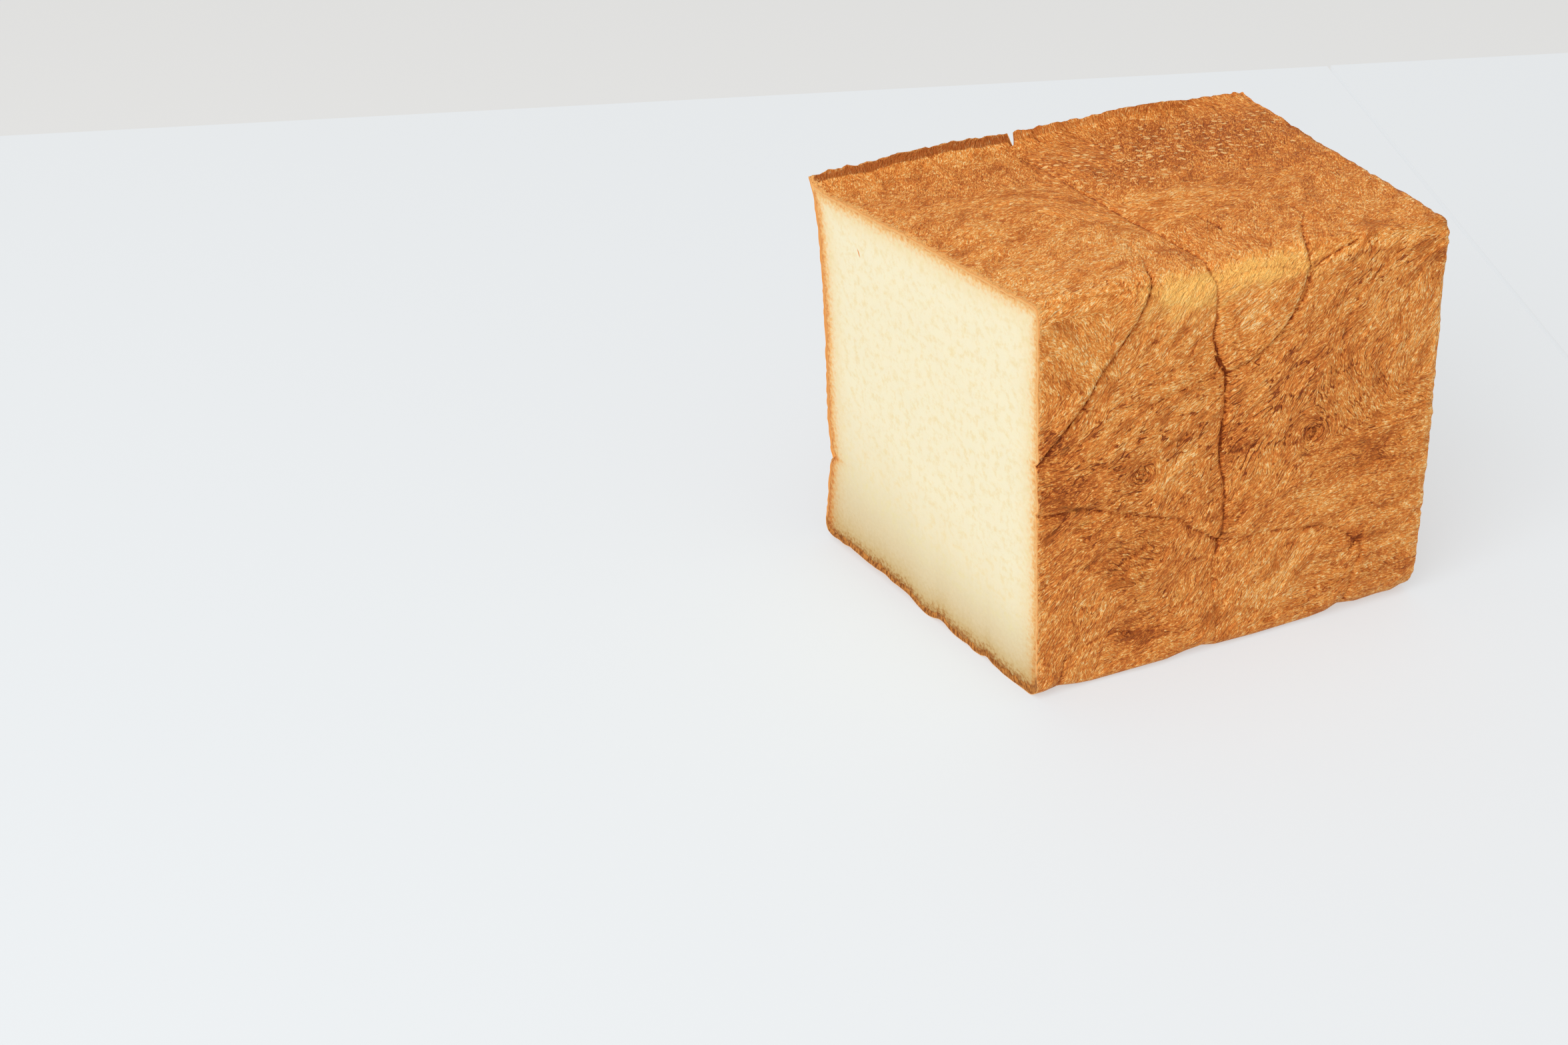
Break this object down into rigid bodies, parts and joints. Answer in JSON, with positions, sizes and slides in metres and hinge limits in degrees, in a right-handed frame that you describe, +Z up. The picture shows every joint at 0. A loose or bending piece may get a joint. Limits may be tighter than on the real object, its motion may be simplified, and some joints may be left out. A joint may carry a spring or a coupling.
{
  "type": "tin loaf",
  "caption": "Square white loaf baked in a lidded tin, cut across at one end to show its fine crumb; it stands on its flat underside.",
  "frame": {"origin": "middle of the loaf's box at its underside, on the surface that the loaf stands on", "axes": "+X along the loaf away from the cut face, +Y across it away from the side with the folds, +Z up"},
  "size_m": [0.1516, 0.114, 0.1294],
  "materials": {
    "crust": "satin",
    "crumb": "matte"
  },
  "bodies": {
    "root": {"loaf": "crust"}
  },
  "joints": []
}
